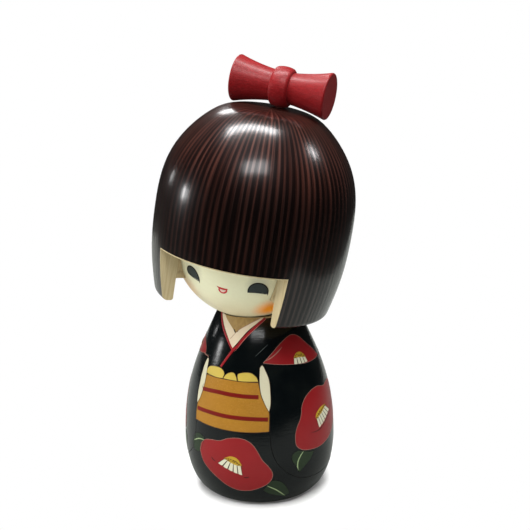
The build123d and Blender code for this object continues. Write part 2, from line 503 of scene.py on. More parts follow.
faceFinish = {
    "ivory": (0.78, 0.77, 0.53),
    "warm": (0.72, 0.58, 0.36),
    "blush": (0.95, 0.31, 0.015),
    "shadow": (0.33, 0.34, 0.27),
    "lowLevels": (-22.0, -12.0),          # mm: the chin is warmer than the brow
    "lowWarmth": 0.55,
    "blushAt": ((50.0, -43.0, 1.0), (-44.0, -38.0, 0.35)),     # azimuth, elevation, strength
    "blushCore": 2.0,         # degrees
    "blushEdge": 17.0,
    "shadowAt": ((29.5, -17.0), (-27.0, -17.0)),
    "shadowCore": 4.0,
    "shadowEdge": 12.0,
    "shadowStrength": 0.45,
    "roughness": (0.36, 0.46),
    "grain": 0.07,            # how far the wood shows through the paint
    "bump": 0.02,             # mm
}


def makeFaceFinish():
    look = faceFinish
    material, tree, shader = startMaterial("ivoryPaint", IOR=1.45)
    place = millimetres(tree, headFrame)
    grain = useGroup(tree, woodGrain, Vector=place, Fibre=1.3, Stretch=0.05)
    paint = useGroup(tree, handPaint, Colour=rgba(look["ivory"]), Vector=place, Strokes=0.5, Unevenness=0.12)
    part = xyz(tree, place)
    low = between(tree, part[2], *look["lowLevels"], look["lowWarmth"], 0.0)
    colour = blendColours(tree, low, paint["Colour"], rgba(look["warm"]))
    colour = blendColours(tree, times(tree, grain["Fibre"], look["grain"]), colour, rgba(look["warm"]))
    for spot in look["shadowAt"]:
        mask = useGroup(tree, softSpot, Vector=place, Towards=towards(*spot),
                        Core=look["shadowCore"], Edge=look["shadowEdge"])["Mask"]
        colour = blendColours(tree, times(tree, mask, look["shadowStrength"]), colour, rgba(look["shadow"]))
    for across, up, strength in look["blushAt"]:
        mask = useGroup(tree, softSpot, Vector=place, Towards=towards(across, up),
                        Core=look["blushCore"], Edge=look["blushEdge"])["Mask"]
        colour = blendColours(tree, times(tree, mask, strength), colour, rgba(look["blush"]))
    drive(tree, shader, Base_Color=colour)
    drive(tree, shader, Roughness=between(tree, paint["Wear"], 0.3, 0.7, *look["roughness"]))
    bumpFrom(tree, shader, plus(tree, paint["Height"], times(tree, grain["Fibre"], 0.5)), look["bump"])
    return material


bareFinish = {
    "pale": (0.55, 0.44, 0.25), "dark": (0.34, 0.24, 0.10), "stain": (0.13, 0.07, 0.02),
    "evenness": 0.4,          # how far the pale tone covers the fibres
    "roughness": (0.55, 0.7),
    "bump": 0.04,             # mm
}


def makeBareFinish(name, place, pale, dark, stain=0.25):
    material, tree, shader = startMaterial(name, IOR=1.45)
    where = millimetres(tree, place)
    grain = useGroup(tree, woodGrain, Vector=where, Fibre=1.5, Stretch=0.05)
    colour = blendColours(tree, grain["Fibre"], rgba(pale), rgba(dark))
    colour = blendColours(tree, bareFinish["evenness"], colour, rgba(pale))
    blot = between(tree, noise(tree, where, 0.5, 3.0), 0.52, 0.75)
    colour = blendColours(tree, times(tree, blot, stain), colour, rgba(bareFinish["stain"]))
    drive(tree, shader, Base_Color=colour)
    drive(tree, shader, Roughness=between(tree, grain["Figure"], 0.0, 1.0, *bareFinish["roughness"]))
    bumpFrom(tree, shader, grain["Fibre"], bareFinish["bump"])
    return material


bowFinish = {
    "crimson": (0.18, 0.0042, 0.0058),
    "deep": (0.09, 0.0018, 0.0025),
    # rubbed: lighter pink speckles painted over the stain, as painted glints where the grain would sparkle in
    # the light
    "paintedGlint": (0.32, 0.016, 0.021),
    "sheenTint": (1.0, 0.3, 0.3),
    "coat": (0.15, 0.35),
    "roughness": (0.42, 0.55),
    "bump": 0.05,             # mm
}


def makeBowFinish():
    look = bowFinish
    alongBow = bowFrame @ Matrix.Rotation(pi / 2, 4, "Y")
    material, tree, shader = startMaterial(
        "crimsonStain", IOR=1.5, Coat_Roughness=0.3, Specular_IOR_Level=0.2,
        Sheen_Weight=0.07, Sheen_Tint=rgba(look["sheenTint"]))
    place = millimetres(tree, alongBow)
    grain = useGroup(tree, woodGrain, Vector=place, Fibre=2.2, Stretch=0.16)
    mottle = noise(tree, place, 2.6, 3.0, 0.7)
    colour = blendColours(tree, grain["Fibre"], rgba(look["crimson"]), rgba(look["deep"]))
    colour = blendColours(tree, 0.5, colour, rgba(look["crimson"]))
    # painted glints: lighter speckles where the mottle is high
    colour = blendColours(tree, between(tree, mottle, 0.5, 0.75, 0.0, 0.5), colour, rgba(look["paintedGlint"]))
    drive(tree, shader, Base_Color=colour)
    drive(tree, shader, Coat_Weight=between(tree, mottle, 0.3, 0.7, *look["coat"]))
    drive(tree, shader, Roughness=between(tree, mottle, 0.3, 0.7, *look["roughness"]))
    bumpFrom(tree, shader, plus(tree, mottle, times(tree, grain["Fibre"], 0.5)), look["bump"])
    return material


goldFinish = {
    "ochre": (0.30, 0.137, 0.013),
    "bronze": (0.18, 0.075, 0.007),
    "glint": (0.46, 0.25, 0.065),
    "glintMetal": 0.6,
    "roughness": (0.38, 0.6),
    "bump": 0.04,             # mm
}


def makeGoldFinish():
    # gold paint with the speckle of its flakes
    look = goldFinish
    material, tree, shader = startMaterial("goldObi", IOR=1.45, Specular_IOR_Level=0.25)
    place = millimetres(tree)
    paint = useGroup(tree, handPaint, Colour=rgba(look["ochre"]), Vector=place, Strokes=0.8, Unevenness=0.25)
    flakes = noise(tree, place, 3.4, 2.0, 0.7)
    dull = between(tree, flakes, 0.56, 0.70, 0.0, 0.6)
    colour = blendColours(tree, dull, paint["Colour"], rgba(look["bronze"]))
    glints = between(tree, flakes, 0.30, 0.40, 0.65, 0.0)
    colour = blendColours(tree, glints, colour, rgba(look["glint"]))
    drive(tree, shader, Base_Color=colour)
    drive(tree, shader, Metallic=times(tree, glints, look["glintMetal"]))
    drive(tree, shader, Roughness=between(tree, flakes, 0.3, 0.7, *look["roughness"]))
    bumpFrom(tree, shader, flakes, look["bump"])
    return material


# colour, roughness, unevenness
paintColours = {
    "camelliaRed": ((0.205, 0.007, 0.009), 0.36, 0.2),
    "stripeRed": ((0.13, 0.0035, 0.001), 0.45, 0.25),
    "collarCream": ((0.60, 0.50, 0.36), 0.5, 0.12),
    "collarRed": ((0.24, 0.006, 0.010), 0.38, 0.30),
    "collarPink": ((0.55, 0.17, 0.14), 0.45, 0.25),
    "liningCream": ((0.50, 0.47, 0.33), 0.5, 0.12),
    "scarfYellow": ((0.45, 0.335, 0.057), 0.42, 0.3),
    "leafGreen": ((0.014, 0.026, 0.011), 0.4, 0.5),
    "veinGreen": ((0.23, 0.30, 0.15), 0.45, 0.25),
    "stamenCream": ((0.56, 0.545, 0.41), 0.45, 0.2),
    "pollenYellow": ((0.40, 0.255, 0.018), 0.45, 0.4),
    "pollenDark": ((0.11, 0.052, 0.006), 0.5, 0.4),
    "petalLine": ((0.24, 0.115, 0.090), 0.45, 0.45),
    "engravedDark": ((0.0015, 0.0015, 0.0015), 0.5, 0.3),
    "engravedPale": ((0.045, 0.052, 0.05), 0.45, 0.5),
    "foldLine": ((0.030, 0.004, 0.004), 0.45, 0.3),
    "brownLine": ((0.045, 0.017, 0.007), 0.45, 0.4),
    "eyeSlate": ((0.022, 0.032, 0.034), 0.45, 0.5),
    "eyeBlack": ((0.004, 0.004, 0.003), 0.40, 0.3),
    "mouthRed": ((0.50, 0.006, 0.011), 0.42, 0.2),
    "lipPink": ((0.70, 0.52, 0.43), 0.42, 0.15),
}


def makePaint(name):
    colour, roughness, unevenness = paintColours[name]
    material, tree, shader = startMaterial(name, IOR=1.45, Specular_IOR_Level=0.3)
    place = millimetres(tree)
    paint = useGroup(tree, handPaint, Colour=rgba(colour), Vector=place, Strokes=1.3, Unevenness=unevenness)
    drive(tree, shader, Base_Color=paint["Colour"])
    matt = between(tree, paint["Height"], 0.3, 0.7, roughness - 0.05, roughness + 0.07)
    drive(tree, shader, Roughness=matt)
    bumpFrom(tree, shader, paint["Height"], 0.02)
    return material


paints = {name: makePaint(name) for name in paintColours}
paints["goldObi"] = makeGoldFinish()
paints["neckWood"] = makeBareFinish(
    "neckWood", Matrix.Identity(4), (0.34, 0.22, 0.075), (0.25, 0.155, 0.05), 0.2)
print(f"finishes ready: {len(bpy.data.materials)}")


# flowing lines and skins of paint
laying = {
    "skinDepth": 0.05,        # mm that a skin reaches into the wood
    "rimClear": 0.45,         # share of the grid kept clear inside an outline
    "linePace": 0.35,         # mm between the points of a brush line
    "lineSides": 12,
    "thinnest": 0.15,         # share of the width at a tapered end
    "taperCurve": 0.6,
}


def flow(points, closed=False, pace=0.5):
    # a smooth line through every point, about pace apart; a point given twice is a corner
    points = [Vector(point) for point in points]
    count = len(points)
    line = []
    for i in range(count if closed else count - 1):
        here, there = points[i], points[(i + 1) % count]
        step = (there - here).length
        if step == 0:
            continue
        before = points[i - 1] if closed or i else here
        after = points[(i + 2) % count] if closed or i + 2 < count else there
        startPull = (there - before) * step / ((here - before).length + step)
        endPull = (after - here) * step / ((after - there).length + step)
        pieces = max(1, ceil(step / pace))
        for k in range(pieces):
            t = k / pieces
            line.append(
                here * (2 * t**3 - 3 * t**2 + 1) + startPull * (t**3 - 2 * t**2 + t)
                + there * (3 * t**2 - 2 * t**3) + endPull * (t**3 - t**2))
    if not closed:
        line.append(points[-1])
    return line


def unrolled(points, surface):
    return [(point[0] * surface["across"], point[1] * surface["up"]) for point in points]


def finishPiece(name, mesh, material, surface):
    # a piece of paint rides on the body that it is painted on
    if not mesh.materials:
        mesh.materials.append(material)
    piece = bpy.data.objects.new(name, mesh)
    bpy.context.scene.collection.objects.link(piece)
    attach(piece, surface["body"])
    return piece


def paintSkins(name, outlines, paint, rise, grid=1.3, surface=kimonoCloth):
    # closed skins of paint, each inside an outline of (across, up) points laid on the surface;
    # rise and grid in mm
    form = bmesh.new()
    for outline in outlines:
        edge = flow(unrolled(outline, surface), closed=True)
        lowX, highX = min(p.x for p in edge), max(p.x for p in edge)
        lowY, highY = min(p.y for p in edge), max(p.y for p in edge)
        filling = []
        for i in range(1, ceil((highX - lowX) / grid)):
            for k in range(1, ceil((highY - lowY) / grid)):
                spot = Vector((lowX + i * grid, lowY + k * grid))
                if min((spot - p).length for p in edge) > grid * laying["rimClear"]:
                    filling.append(spot)
        rim = [(i, (i + 1) % len(edge)) for i in range(len(edge))]
        spots, _, faces, *_ = delaunay_2d_cdt(edge + filling, rim, [], 1, 1e-5)
        used = sorted({i for face in faces for i in face})
        outer, inner = {}, {}
        for i in used:
            across, up = spots[i][0] / surface["across"], spots[i][1] / surface["up"]
            outer[i] = form.verts.new(surface["at"](across, up, rise)[0])
            inner[i] = form.verts.new(surface["at"](across, up, -laying["skinDepth"])[0])
        sides = {}
        for face in faces:
            a, b, c = (spots[i] for i in face[:3])
            if (b[0] - a[0]) * (c[1] - a[1]) < (b[1] - a[1]) * (c[0] - a[0]):
                face = list(reversed(face))
            form.faces.new([outer[i] for i in face]).smooth = True
            form.faces.new([inner[i] for i in reversed(face)])
            for i, k in zip(face, [*face[1:], face[0]]):
                sides[(i, k)] = True
        for i, k in sides:
            if (k, i) not in sides:
                form.faces.new([outer[k], outer[i], inner[i], inner[k]])
    for line in form.edges:
        line.smooth = all(face.smooth for face in line.link_faces)
    mesh = bpy.data.meshes.new(name)
    form.to_mesh(mesh)
    form.free()
    return finishPiece(name, mesh, paints[paint], surface)


# geometry nodes: brush lines along a path, and pollen scattered along one
def pathValue(tree, name, kind):
    node = addNode(tree, "GeometryNodeInputNamedAttribute", data_type=kind)
    node.inputs["Name"].default_value = name
    return node.outputs["Attribute"]


def makeBrushLineTree():
    # a flat ribbon of paint with round edges, lying across the surface and thinning out where it tapers
    tree, given, made = newGroup("brushLine", "GeometryNodeTree", [
        ("Geometry", "NodeSocketGeometry", None),
        ("Width", "NodeSocketFloat", 0.4 * mm),
        ("Rise", "NodeSocketFloat", 0.08 * mm),
        ("Sides", "NodeSocketInt", 12),
        ("Material", "NodeSocketMaterial", None),
    ], [("Geometry", "NodeSocketGeometry")])
    taper = pathValue(tree, "taper", "FLOAT")
    upward = pathValue(tree, "upward", "FLOAT_VECTOR")
    path = wire(tree, "GeometryNodeMeshToCurve", {0: given["Geometry"]})
    facing = wire(tree, "GeometryNodeSetCurveNormal", {"Curve": path, "Normal": upward}, mode="FREE")
    ring = wire(tree, "GeometryNodeCurvePrimitiveCircle", {"Resolution": given["Sides"], "Radius": 1.0},
                mode="RADIUS")
    across = wire(tree, "ShaderNodeCombineXYZ", {
        "X": given["Rise"], "Y": times(tree, given["Width"], 0.5), "Z": 1.0})
    section = wire(tree, "GeometryNodeTransform", {"Geometry": ring, "Scale": across})
    ribbon = wire(tree, "GeometryNodeCurveToMesh", {
        "Curve": facing, "Profile Curve": section, "Scale": taper, "Fill Caps": True})
    smooth = wire(tree, "GeometryNodeSetShadeSmooth", {"Geometry": ribbon})
    finishTree(tree, smooth, given, made)
    return tree


def makePollenTree():
    # grains of pollen, unevenly set along the tips of the stamens
    tree, given, made = newGroup("pollen", "GeometryNodeTree", [
        ("Geometry", "NodeSocketGeometry", None),
        ("Grains", "NodeSocketInt", 20),
        ("Size", "NodeSocketFloat", 0.22 * mm),
        ("Spread", "NodeSocketFloat", 0.35 * mm),
        ("Seed", "NodeSocketInt", 3),
        ("Material", "NodeSocketMaterial", None),
    ], [("Geometry", "NodeSocketGeometry")])
    upward = pathValue(tree, "upward", "FLOAT_VECTOR")
    path = wire(tree, "GeometryNodeMeshToCurve", {0: given["Geometry"]})
    spaced = wire(tree, "GeometryNodeResampleCurve", {"Curve": path, "Count": given["Grains"]}, mode="COUNT")
    scatter = wire(tree, "FunctionNodeRandomValue", {
        "Min": (-1, -1, -1), "Max": (1, 1, 1), "Seed": given["Seed"]}, data_type="FLOAT_VECTOR")
    aside = scaled(tree, scatter, given["Spread"])
    proud = vectorMaths(tree, "DOT_PRODUCT", aside, upward)
    along = vectorMaths(tree, "SUBTRACT", aside, scaled(tree, upward, proud))
    moved = wire(tree, "GeometryNodeSetPosition", {"Geometry": spaced, "Offset": along})
    grain = wire(tree, "GeometryNodeMeshIcoSphere", {"Radius": 1.0, "Subdivisions": 2})
    rounded = wire(tree, "GeometryNodeSetShadeSmooth", {"Geometry": grain})
    facing = wire(tree, "FunctionNodeAlignRotationToVector", {"Vector": upward}, axis="Z")
    sizes = addNode(tree, "FunctionNodeRandomValue", data_type="FLOAT")
    sizes.inputs[2].default_value = 0.7      # smallest and largest grain
    sizes.inputs[3].default_value = 1.2
    plug(tree, sizes.inputs["Seed"], given["Seed"])
    flattened = scaled(tree, (1, 1, 0.5), times(tree, sizes.outputs[1], given["Size"]))
    grains = wire(tree, "GeometryNodeInstanceOnPoints", {
        "Points": moved, "Instance": rounded, "Rotation": facing, "Scale": flattened})
    finishTree(tree, grains, given, made)
    return tree


def finishTree(tree, geometry, given, made):
    real = wire(tree, "GeometryNodeRealizeInstances", {"Geometry": geometry})
    painted = wire(tree, "GeometryNodeSetMaterial", {"Geometry": real, "Material": given["Material"]})
    plug(tree, made["Geometry"], painted)


brushLine = makeBrushLineTree()
pollen = makePollenTree()


def guideMesh(name, lines, surface, lift, tapered):
    # every line of (across, up) points as a chain of edges, with the way up and the taper on each point
    mesh = bpy.data.meshes.new(name)
    spots, ups, tapers, chains = [], [], [], []
    for line in lines:
        path = flow(unrolled(line, surface), pace=laying["linePace"])
        first = len(spots)
        for i, point in enumerate(path):
            spot, normal = surface["at"](point.x / surface["across"], point.y / surface["up"], lift)
            spots.append(spot)
            ups.append(normal)
            share = i / (len(path) - 1)
            ends = min(share, 1 - share) * 2
            full = min(1.0, ends / tapered) ** laying["taperCurve"] if tapered else 1.0
            tapers.append(laying["thinnest"] + (1 - laying["thinnest"]) * full)
        chains += [(first + i, first + i + 1) for i in range(len(path) - 1)]
    mesh.from_pydata(spots, chains, [])
    mesh.attributes.new("taper", "FLOAT", "POINT").data.foreach_set("value", tapers)
    upward = mesh.attributes.new("upward", "FLOAT_VECTOR", "POINT")
    upward.data.foreach_set("vector", [number for up in ups for number in up])
    return mesh


def growPiece(name, guide, tree, surface, **values):
    # runs a geometry nodes tree on a guide mesh and keeps the result as a plain mesh
    base = bpy.data.objects.new(name + "Guide", guide)
    bpy.context.scene.collection.objects.link(base)
    modifier = base.modifiers.new("grow", "NODES")
    modifier.node_group = tree
    for item in tree.interface.items_tree:
        if item.in_out == "INPUT" and item.name in values:
            modifier[item.identifier] = values[item.name]
    depsgraph = bpy.context.evaluated_depsgraph_get()
    mesh = bpy.data.meshes.new_from_object(base.evaluated_get(depsgraph), depsgraph=depsgraph)
    mesh.name = name
    base.modifiers.clear()
    bpy.data.objects.remove(base)
    for extra in ("taper", "upward"):
        if extra in mesh.attributes:
            mesh.attributes.remove(mesh.attributes[extra])
    return finishPiece(name, mesh, values["Material"], surface)


def brushLines(name, lines, paint, width, rise=0.06, lift=0.0, tapered=0.0, surface=kimonoCloth):
    # width, rise and lift in mm; tapered is the share of a half line over which its end thins out
    guide = guideMesh(name + "Path", lines, surface, lift, tapered)
    return growPiece(name, guide, brushLine, surface, Width=width * mm, Rise=rise * mm,
                     Sides=laying["lineSides"], Material=paints[paint])


def closedLines(outlines):
    return [outline + outline[:1] for outline in outlines]


def mirrored(points):
    return [(-point[0], point[1]) for point in points]


# obi, its cord stripes and the scarf tucked in above it
obi = {
    "front": [
        (-27, 45.2), (-27, 45.2), (-12, 45.4), (0, 45.5), (13, 45.4), (26, 45.4), (26, 45.4), (27, 43.6),
        (28.5, 40.8), (31.5, 38.1), (34, 35.9), (34, 32.6), (33.5, 29.2), (33.5, 29.2), (17, 29), (0, 29),
        (-16, 29.1), (-32, 29.2), (-32, 29.2), (-32, 34), (-30, 38.6), (-28, 42.6),
    ],
    "stripes": [
        [(-28, 40.3), (-11, 41), (2, 41), (13, 40.9), (26, 40.8)],
        [(-31, 33.3), (-16, 33.7), (0, 33.7), (14, 33.7), (24, 33.6), (33, 33.4)],
    ],
    "stripeWidth": 1.4,
    "scarf": [
        [
            (-27.5, 45.6), (-28, 46.8), (-26, 47.9), (-19, 48.6), (-12, 48.6), (-8, 47.9), (-6.5, 47),
            (-7.5, 45.6), (-7.5, 45.6), (-15, 45.4),
        ],
        [(-7, 45.6), (-7, 45.6), (-5, 46.9), (-1, 47.8), (3, 47.9), (5.5, 46.9), (7, 45.5), (7, 45.5)],
        [
            (8, 45.5), (7, 46.6), (7, 47.6), (11, 48.2), (16, 48.4), (20.5, 48.1), (24.5, 46.9), (26, 45.6),
            (26, 45.6),
        ],
    ],
}


def makeObi():
    paintSkins("obiBand", [obi["front"]], "goldObi", rise=0.06)
    brushLines("obiStripes", obi["stripes"], "stripeRed", width=obi["stripeWidth"], rise=0.05, lift=0.06)
    brushLines("obiOutline", closedLines([obi["front"]]), "brownLine", width=0.28, rise=0.04, lift=0.04)
    paintSkins("obiScarf", obi["scarf"], "scarfYellow", rise=0.12, grid=1.0)
    brushLines("obiScarfOutline", closedLines(obi["scarf"]), "brownLine", width=0.22, rise=0.05, lift=0.09)


# collar, neck and the lining that shows in the sleeve openings
collar = {
    "neck": [
        (-38, 64.95), (-38, 64.95), (0, 64.95), (38, 64.95), (38, 64.95), (28, 64.2), (10, 62), (-2, 59.4),
        (-2, 59.4), (-12, 61.3), (-30, 64.2),
    ],
    "right": [
        (-37.5, 64.9), (-37.5, 64.9), (-31, 64.9), (-31, 64.9), (-21, 63.3), (-11.5, 61.8), (-2, 59.9),
        (4, 58.6), (4, 58.6), (-3, 55.2), (-3, 55.2), (-12, 58.3), (-20.5, 60.6), (-29.5, 62.9),
    ],
    "left": [
        (30.5, 64.9), (30.5, 64.9), (35, 64.9), (35, 64.9), (24, 63.1), (13.5, 61), (6, 58.6), (0.5, 56.5),
        (-2.5, 55.4), (-2.5, 55.4), (-8, 57.9), (-8, 57.9), (-2.5, 59.9), (1.5, 61), (10, 62.4), (19, 63.6),
    ],
    "rightEdge": [(-39.5, 64.9), (-31.5, 62.6), (-22.5, 60.3), (-13, 57.9), (-6.5, 56), (-2.5, 54.7)],
    "leftEdge": [
        (37, 64.8), (27.5, 63.1), (16, 60.6), (8, 58.3), (3, 56.2), (-1.5, 54.8), (-6, 52.6), (-9.5, 50.6),
        (-12, 49),
    ],
    "leftEdgeShine": [(38.5, 64.5), (28.5, 62.8), (17, 60.3), (9, 57.9), (4, 55.8), (0, 54.3)],
    "lapLine": [(-8, 57.9), (-2.5, 59.9), (1.5, 61), (10, 62.4), (19, 63.6), (30, 64.8)],
    "lining": [
        [
            (27.5, 49.8), (27.5, 49.8), (30, 50.6), (32, 49.6), (35.5, 46.1), (36, 41.8), (35.5, 38.2),
            (34, 35.8), (34, 35.8), (31, 38.4), (28, 41.8), (27, 45.4),
        ],
        [
            (-32, 50.2), (-32, 50.2), (-30, 49.4), (-29, 47.6), (-27.5, 45), (-27, 42), (-28, 39),
            (-30, 36.4), (-32.5, 34.8), (-32.5, 34.8), (-33.5, 38), (-34, 41.6), (-34.5, 45), (-34.5, 47.6),
            (-33.5, 49.4),
        ],
    ],
    "wornEdge": [[(-6.5, 61.1), (-4, 60.4), (-2, 59.7)], [(-2, 59.9), (2, 61.1)]],
}


def makeCollar():
    paintSkins("neckFront", [collar["neck"]], "neckWood", rise=0.04)
    paintSkins("collarRight", [collar["right"]], "collarCream", rise=0.07)
    paintSkins("collarLeft", [collar["left"]], "collarCream", rise=0.10)
    brushLines("collarRightEdge", [collar["rightEdge"]], "collarRed", width=0.75, rise=0.09, lift=0.04)
    brushLines("collarLeftEdge", [collar["leftEdge"]], "collarRed", width=0.85, rise=0.11, lift=0.04)
    brushLines("collarShine", [collar["leftEdgeShine"]], "collarPink",
               width=0.16, rise=0.05, lift=0.06, tapered=0.6)
    brushLines("collarLap", [collar["lapLine"]], "petalLine", width=0.16, rise=0.04, lift=0.09)
    brushLines("collarWear", collar["wornEdge"], "engravedDark", width=0.4, rise=0.05, lift=0.06, tapered=0.8)
    paintSkins("sleeveLining", collar["lining"], "liningCream", rise=0.09)
    brushLines("sleeveLiningOutline", closedLines(collar["lining"]), "brownLine",
               width=0.2, rise=0.05, lift=0.06)


# camellias: petals, stamens, pollen, folds and leaves
camellias = {
    "hem": {
        "petals": [
            (-25, 19), (-23.5, 21.6), (-20, 23.4), (-14.5, 24.3), (-5, 24.9), (1.5, 26.2), (8.5, 26.8),
            (15, 26.5), (20.5, 25), (24.5, 22.4), (28, 19.3), (32.5, 16.8), (35.5, 14.3), (35, 12),
            (31.5, 10), (25.5, 8.5), (17.5, 7.3), (8, 7.1), (-1, 8.4), (-9, 10.7), (-16, 12.9), (-22, 15.5),
        ],
        "foot": [(-7, 16.7), (0, 15.4), (7, 14.2), (13, 13.5)],
        "tip": [(-1, 18.8), (3, 17.9), (7, 17.2), (12, 16.9)],
        "cap": [(-1, 19), (4, 20), (9, 19.5), (12.5, 17.4)],
        "filaments": 5,
        "folds": [[(-13, 18.2), (-11.5, 17.4), (-9, 16.9)], [(13.5, 12.7), (15.5, 12.5), (18, 13)]],
        "foldPaint": "foldLine",
        "leaves": [
            {"blade": [
                (28.5, 7.4), (28.5, 7.4), (32, 9.8), (36, 11.3), (42.5, 10.3), (48, 7.4), (51.5, 4.4),
                (51.5, 4.4), (47.5, 3.6), (39, 4.7), (33, 5.8),
            ],
             "vein": [(31.5, 9.2), (38.5, 7.3), (43.5, 5.4), (48, 3.6)]},
            {"blade": [
                (-35, 21.4), (-31, 24.2), (-26, 25), (-20, 24.2), (-20, 24.2), (-22.5, 21), (-25.5, 18.6),
                (-30, 17.8), (-34.5, 18.6),
            ],
             "vein": [(-33.5, 21.2), (-27, 22.8), (-20, 23.4)]},
        ],
    },
    "sleeve": {
        "petals": [
            (98.5, 38.9), (94, 38.8), (84, 40), (78, 40), (72, 39.4), (67.5, 38.4), (64.5, 37.2),
            (62, 35.5), (61, 33.6), (59.5, 31.8), (57.5, 30.4), (56, 29.2), (54.5, 27.4), (54, 25.3),
            (54.5, 23.2), (57, 21.7), (61.5, 20.6), (69, 19.9), (77, 19.6), (85, 19.9), (93.5, 20.8),
            (100.5, 22.2), (106, 23.7), (113, 26.4), (118.5, 30), (118.5, 34.5), (115, 37.6), (109.5, 38.8),
            (103.5, 39.1),
        ],
        "foot": [(78, 26.3), (84, 27.2), (90, 28.6), (96.5, 30)],
        "tip": [(76, 29.6), (80.5, 30.4), (85.5, 31.3), (90, 32.3)],
        "cap": [(75, 30.4), (77, 31.8), (84, 32.9), (90.5, 32.7)],
        "filaments": 6,
        "folds": [[
            (102.5, 31.8), (98, 29.4), (91.5, 27.9), (85.5, 26.6), (80.5, 25.7), (75, 25.5), (68.5, 25.8),
        ]],
        "foldPaint": "foldLine",
        "leaves": [
            {"blade": [
                (51, 20), (56, 21), (60, 20.4), (66, 19.4), (71, 18.9), (71, 18.9), (68, 16.7),
                (62.5, 14.6), (57.5, 12.7), (57.5, 12.7), (54.5, 15.3), (51, 17.8),
            ],
             "vein": [(61, 20.3), (58, 18.8), (56, 17.2), (55.5, 15.5), (56.5, 13.4)]},
        ],
    },
    "shoulder": {
        "petals": [
            (31, 51.3), (31, 51.3), (38.5, 53.4), (49, 56), (61.5, 57.9), (71, 58.3), (80.5, 57),
            (88.5, 54.3), (98, 51.1), (105.5, 48.1), (105.5, 48.1), (92.5, 48.2), (77.5, 48.6), (68, 49.2),
            (57, 49.8), (44.5, 50.5),
        ],
        "foot": [(62.5, 49.5), (69, 49.2), (75, 48.9), (81, 48.8)],
        "tip": [(64, 51.2), (69, 51.1), (74.5, 50.8), (79.5, 50.4)],
        "cap": [(65, 51.7), (69, 52.6), (74.5, 52.5), (79, 51.2)],
        "filaments": 4,
        "folds": [[(32.5, 51.8), (39.5, 52.7), (46, 53.9), (53.5, 55.5)]],
        "foldPaint": "petalLine",
        "leaves": [],
    },
}
# the flower on the doll's right shoulder is smaller, and its petal's edge runs on along the arm
camellias["otherShoulder"] = {
    **camellias["shoulder"],
    "petals": [
        (40, 50.8), (40, 50.8), (42, 52), (45.5, 52.9), (53.5, 54), (62, 54.5), (72, 54.6), (82, 53.8),
        (91, 51.6), (100, 48.3), (100, 48.3), (92.5, 48.2), (77.5, 48.7), (68, 49.1), (56, 49.6),
        (48.5, 50.1),
    ],
    "folds": [[(42, 50.5), (36, 50.5), (32, 50.4)]],
}


stamens = {
    "gap": 0.11,              # share of a filament left bare at each side
    "toe": 0.04,              # how far its foot bulges
    "pollenAt": 0.45,         # from the tips towards the cap's edge
    "pollenLift": 0.18, "grains": 26, "grainSize": 0.19, "spread": 0.4,      # mm
}


def pointAlong(line, share):
    # the point that far along a line of (across, up) points
    reach = share * (len(line) - 1)
    i = min(int(reach), len(line) - 2)
    return Vector(line[i]).lerp(Vector(line[i + 1]), reach - i)


def makeCamellia(name, flower, side=1):
    def turned(points):
        return points if side > 0 else mirrored(points)
    petals = turned(flower["petals"])
    foot, tip, cap = turned(flower["foot"]), turned(flower["tip"]), turned(flower["cap"])
    paintSkins(name + "Petals", [petals], "camelliaRed", rise=0.07)
    brushLines(name + "Outline", closedLines([petals]), "petalLine", width=0.17, rise=0.04, lift=0.05)
    # the fan of stamens: broad pale filaments on a dark ground, with a cap of pollen over their tips
    ground = [foot[0], *foot, foot[-1], tip[-1], *tip[::-1], tip[0]]
    paintSkins(name + "StamenGround", [ground], "foldLine", rise=0.09, grid=0.8)
    filaments = []
    for i in range(flower["filaments"]):
        start = (i + stamens["gap"]) / flower["filaments"]
        end = (i + 1 - stamens["gap"]) / flower["filaments"]
        corners = [pointAlong(foot, start), pointAlong(foot, end),
                   pointAlong(tip, end), pointAlong(tip, start)]
        toe = (corners[0] + corners[1]) / 2
        toe += (toe - (corners[2] + corners[3]) / 2) * stamens["toe"]
        filaments.append([corners[0]] * 2 + [toe] + [corner for corner in corners[1:] for twice in range(2)])
    paintSkins(name + "Stamens", filaments, "stamenCream", rise=0.12, grid=0.5)
    ridge = [pointAlong(tip, i / 6).lerp(pointAlong(cap, i / 6), stamens["pollenAt"]) for i in range(7)]
    crown = [cap[0], *cap, cap[-1], *tip[::-1]]
    paintSkins(name + "PollenBed", [crown], "pollenYellow", rise=0.13, grid=0.6)
    guide = guideMesh(name + "PollenPath", [ridge], kimonoCloth, stamens["pollenLift"], 0.0)
    growPiece(name + "Pollen", guide, pollen, kimonoCloth, Grains=stamens["grains"],
              Size=stamens["grainSize"] * mm, Spread=stamens["spread"] * mm, Seed=len(name),
              Material=paints["pollenDark"])
    brushLines(name + "Folds", [turned(fold) for fold in flower["folds"]], flower["foldPaint"],
               width=0.34, rise=0.05, lift=0.06, tapered=0.4)
    for i, leaf in enumerate(flower["leaves"]):
        blade, vein = turned(leaf["blade"]), turned(leaf["vein"])
        paintSkins(f"{name}Leaf{i + 1}", [blade], "leafGreen", rise=0.045)
        brushLines(f"{name}LeafEdge{i + 1}", closedLines([blade]), "engravedDark",
                   width=0.16, rise=0.03, lift=0.04)
        brushLines(f"{name}LeafVein{i + 1}", [vein], "veinGreen",
                   width=0.42, rise=0.06, lift=0.04, tapered=0.5)


